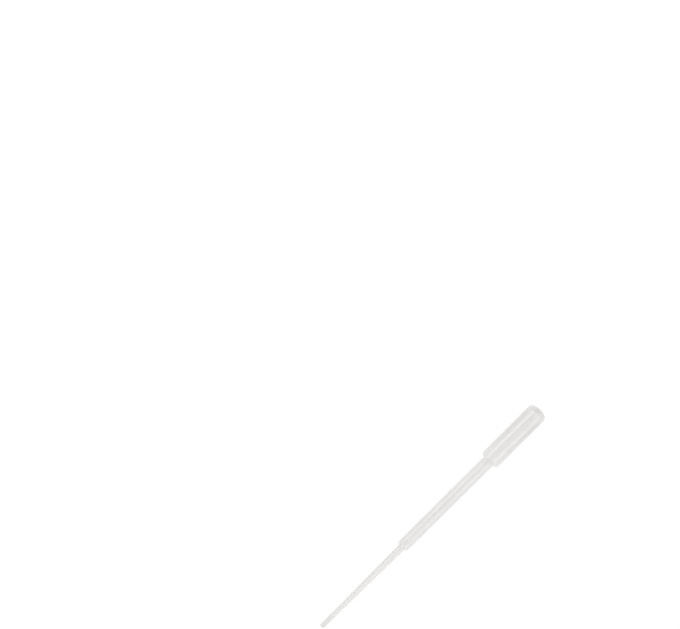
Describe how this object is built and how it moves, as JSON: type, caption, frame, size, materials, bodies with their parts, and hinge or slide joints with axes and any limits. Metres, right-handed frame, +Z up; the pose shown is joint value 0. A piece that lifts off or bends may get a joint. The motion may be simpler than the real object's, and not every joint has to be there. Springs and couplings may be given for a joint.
{
  "type": "plastic dropper pipette",
  "caption": "One-piece blow-moulded plastic dropper: closed squeeze bulb, plain barrel and tapered open tip, for drawing up and dropping small volumes of liquid.",
  "frame": {"origin": "on the surface that the pipette lies on, under the middle of its length and width", "axes": "+X from the open tip to the closed bulb, +Z up; the pipette's own axis leans 1.84 degrees up towards +X, because it lies on the end of its tip and the shoulder of its bulb"},
  "size_m": [0.155, 0.0104, 0.0114],
  "materials": {
    "polyethylene": "undyed low-density polyethylene, milky and translucent, with a soft moulded gloss"
  },
  "bodies": {
    "root": {"pipette": "polyethylene"}
  },
  "joints": []
}
